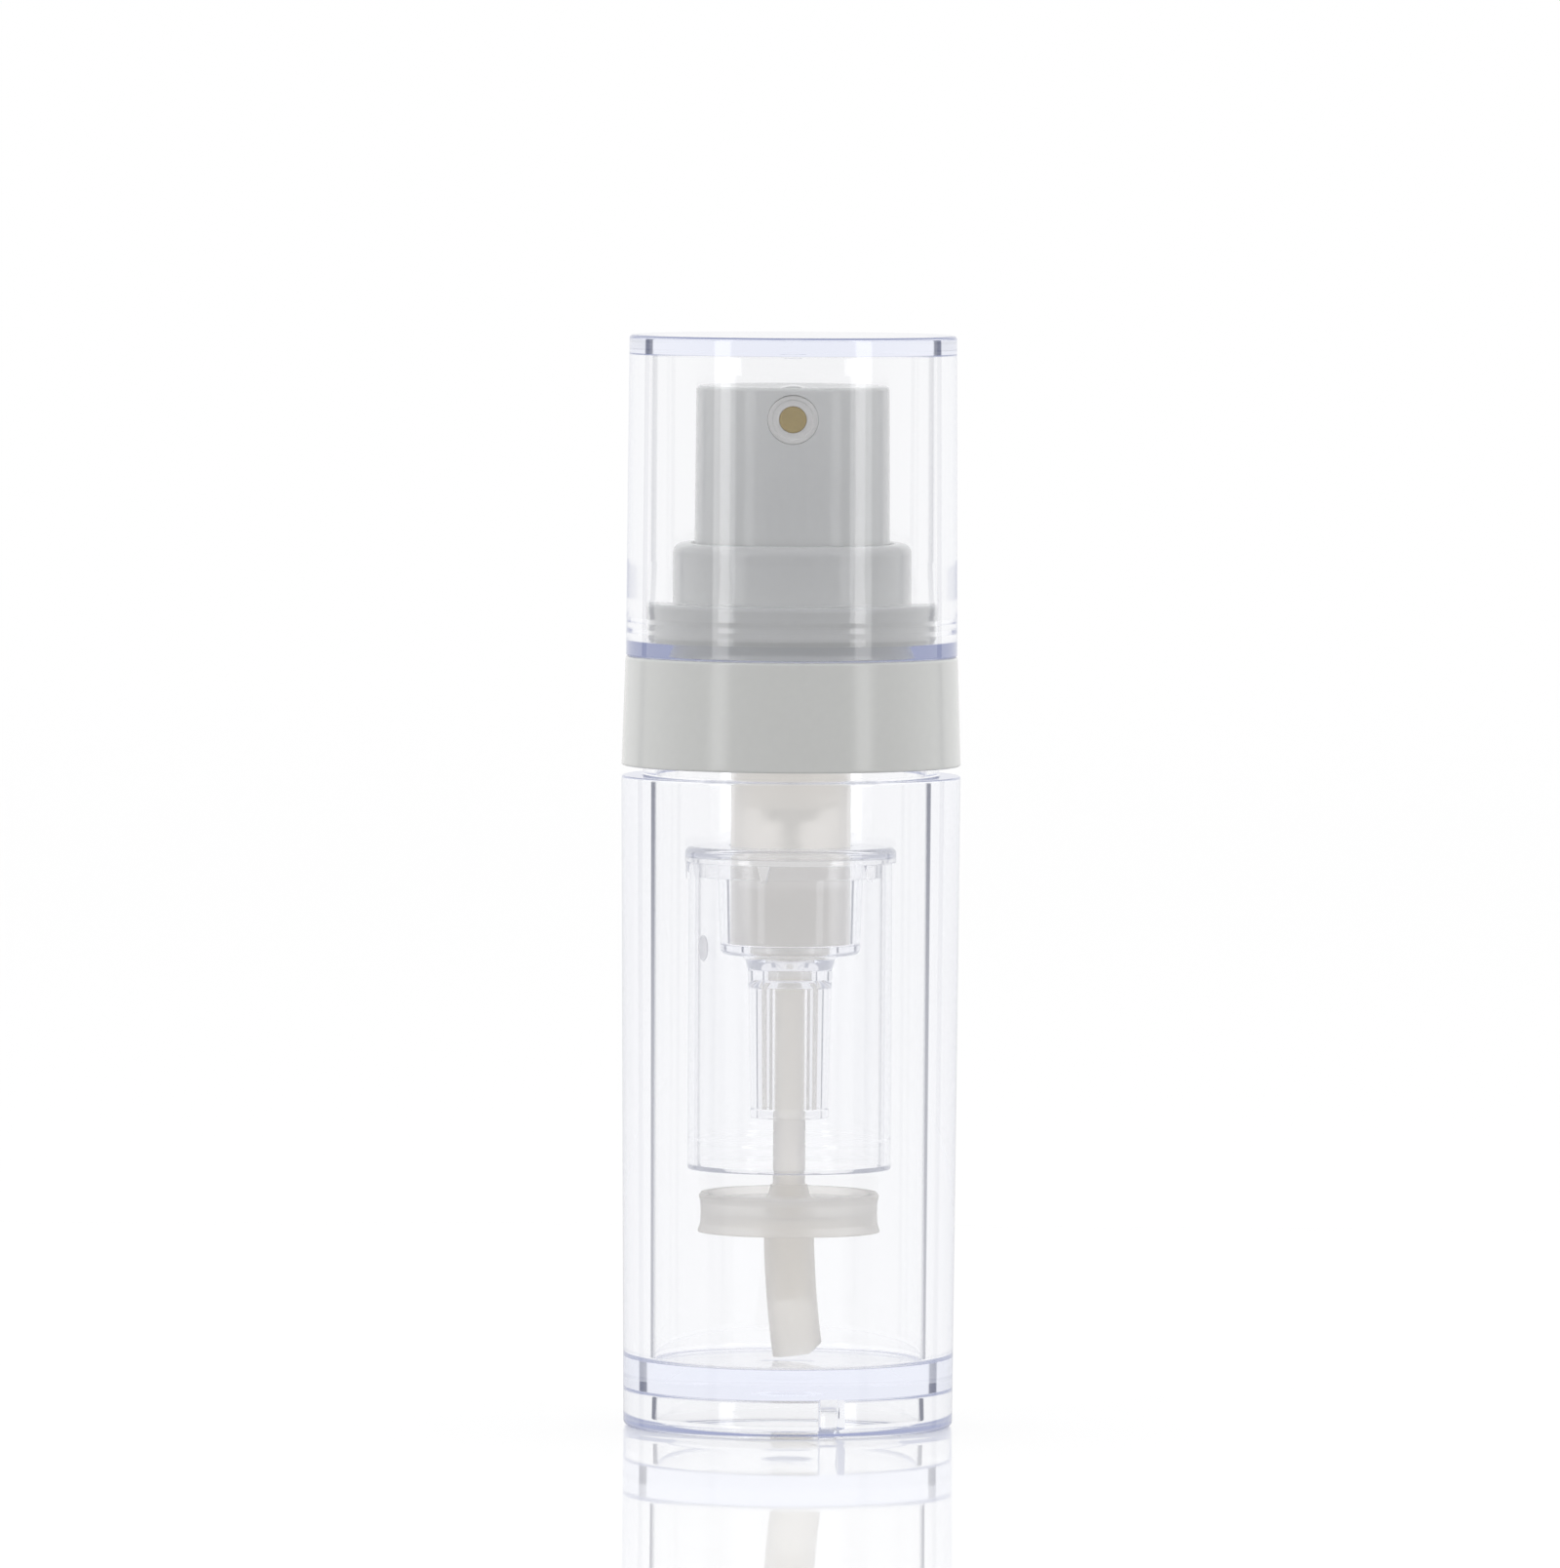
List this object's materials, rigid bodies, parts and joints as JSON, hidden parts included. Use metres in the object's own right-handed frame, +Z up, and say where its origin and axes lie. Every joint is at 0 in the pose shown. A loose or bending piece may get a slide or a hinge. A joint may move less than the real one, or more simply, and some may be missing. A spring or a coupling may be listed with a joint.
{
  "type": "dual chamber pump bottle",
  "caption": "Clear lotion bottle with a small clear inner chamber hung from its pump, a dropping piston that lets the chambers mix, a white screw collar and press pump, and a clear cap.",
  "frame": {"origin": "centre of the ring that the bottle stands on, on the surface it stands on", "axes": "+Z up along the bottle's axis, -Y the front, where the nozzle points"},
  "size_m": [0.0348, 0.0348, 0.112],
  "materials": {
    "clear_plastic": "water-clear, polished, with a faint lavender tint where it is thick",
    "white_plastic": "opaque white, semi-gloss moulded polypropylene",
    "milky_plastic": "natural translucent polyolefin, satin",
    "gasket_foam": "fine white foam",
    "tan_rubber": "tan, dull",
    "spring_steel": "drawn stainless wire",
    "ball_steel": "polished stainless steel"
  },
  "bodies": {
    "bottle": {"outer_bottle": "clear_plastic"},
    "pump": {"pump_housing": "milky_plastic", "neck_gasket": "gasket_foam", "chaplet": "white_plastic", "return_spring": "spring_steel", "valve_cage": "white_plastic", "chamber_holder": "clear_plastic", "inner_chamber": "clear_plastic", "upper_dip_tube": "milky_plastic"},
    "collar": {"collar": "white_plastic"},
    "cap": {"overcap": "clear_plastic"},
    "stem": {"stem": "white_plastic", "plunger": "white_plastic"},
    "button": {"actuator": "white_plastic", "nozzle_insert": "milky_plastic", "nozzle_valve": "tan_rubber"},
    "piston": {"pump_piston": "milky_plastic"},
    "ball": {"inlet_ball": "ball_steel"},
    "release": {"release_piston": "milky_plastic", "lower_dip_tube": "milky_plastic"}
  },
  "joints": [
    {"name": "pump_lift", "type": "slide", "parent": "bottle", "child": "pump", "axis": [0, 0, 1], "range_m": [0, 0.0045]},
    {"name": "collar_turn", "type": "hinge", "parent": "pump", "child": "collar", "pos_m": [0, 0, 0.0773], "axis": [0, 0, 1], "range_deg": [0, 540]},
    {"name": "cap_lift", "type": "slide", "parent": "collar", "child": "cap", "axis": [0, 0, 1], "range_m": [0, 0.034]},
    {"name": "actuator_press", "type": "slide", "parent": "pump", "child": "stem", "axis": [0, 0, -1], "range_m": [0, 0.005], "stiffness_N_per_m": 1500, "springref_m": -0.004, "deforming": ["return_spring"]},
    {"name": "actuator_swivel", "type": "hinge", "parent": "stem", "child": "button", "pos_m": [0, 0, 0.0911], "axis": [0, 0, 1], "continuous": true},
    {"name": "piston_slip", "type": "slide", "parent": "stem", "child": "piston", "axis": [0, 0, 1], "range_m": [0, 0.0008]},
    {"name": "ball_lift", "type": "slide", "parent": "pump", "child": "ball", "axis": [0, 0, 1], "range_m": [0, 0.0012]},
    {"name": "release_slide", "type": "slide", "parent": "pump", "child": "release", "axis": [0, 0, 1], "range_m": [0, 0.0074]}
  ],
  "couplings": [
    {"joint": "collar_turn", "follows": "pump_lift", "rad_per_m": 2094.4}
  ]
}
